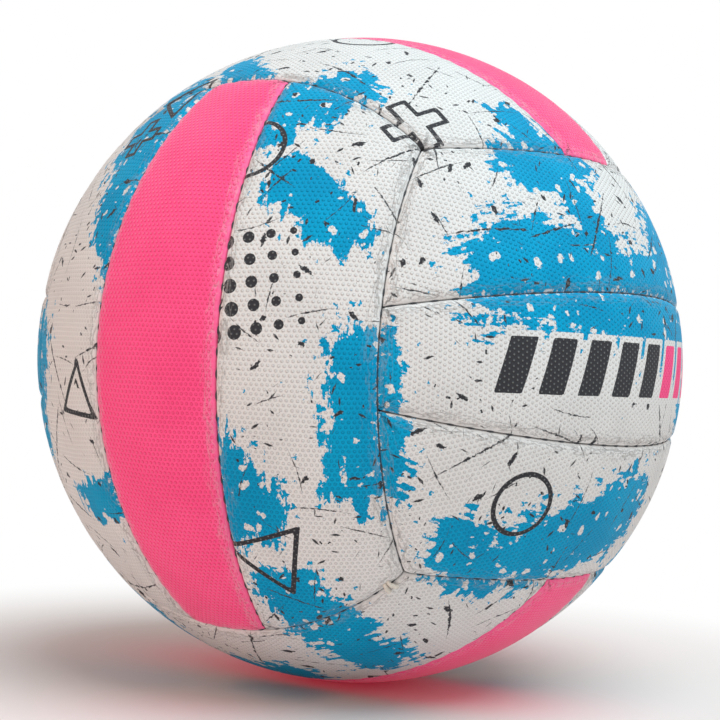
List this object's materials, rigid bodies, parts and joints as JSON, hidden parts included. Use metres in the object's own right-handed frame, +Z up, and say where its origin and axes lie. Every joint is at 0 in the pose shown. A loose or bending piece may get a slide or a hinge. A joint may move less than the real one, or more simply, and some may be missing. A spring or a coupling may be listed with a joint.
{
  "type": "netball",
  "caption": "Stitched netball: strip panels in groups over an inflated bladder, pimpled grip surface, thread in the seams and a needle valve for inflating it.",
  "frame": {"origin": "centre of the ball", "axes": "+Y out through the valve at the back, +Z up in the picture's pose, +X out through the right-hand group whose strips lie level"},
  "size_m": [0.2228, 0.2227, 0.2228],
  "materials": {
    "cover_printed": "white grip rubber with printed pattern",
    "cover_plain": "pink grip rubber",
    "backing": "laminated cotton and foam",
    "thread": "waxed polyester thread",
    "closing_thread": "undyed waxed thread",
    "bladder": "butyl rubber",
    "patch": "rubberised cloth",
    "valve": "moulded rubber",
    "valve_plug": "soft moulded rubber"
  },
  "bodies": {
    "root": {"cover_top_first": "cover_printed", "cover_top_middle": "cover_plain", "cover_top_last": "cover_printed", "cover_bottom_first": "cover_printed", "cover_bottom_middle": "cover_plain", "cover_bottom_last": "cover_printed", "cover_front_first": "cover_printed", "cover_front_middle": "cover_plain", "cover_front_last": "cover_printed", "cover_back_first": "cover_printed", "cover_back_middle": "cover_plain", "cover_back_last": "cover_printed", "cover_right_first": "cover_printed", "cover_right_middle": "cover_printed", "cover_right_last": "cover_printed", "cover_left_first": "cover_printed", "cover_left_middle": "cover_printed", "cover_left_last": "cover_printed", "backing_top_first": "backing", "backing_top_middle": "backing", "backing_top_last": "backing", "backing_bottom_first": "backing", "backing_bottom_middle": "backing", "backing_bottom_last": "backing", "backing_front_first": "backing", "backing_front_middle": "backing", "backing_front_last": "backing", "backing_back_first": "backing", "backing_back_middle": "backing", "backing_back_last": "backing", "backing_right_first": "backing", "backing_right_middle": "backing", "backing_right_last": "backing", "backing_left_first": "backing", "backing_left_middle": "backing", "backing_left_last": "backing", "thread_top": "thread", "thread_bottom": "thread", "thread_front": "thread", "thread_back": "thread", "thread_right": "thread", "thread_left": "thread", "closing_stitch": "closing_thread", "bladder": "bladder", "bladder_patch": "patch", "valve_seat": "valve", "valve_plug": "valve_plug"}
  },
  "joints": []
}
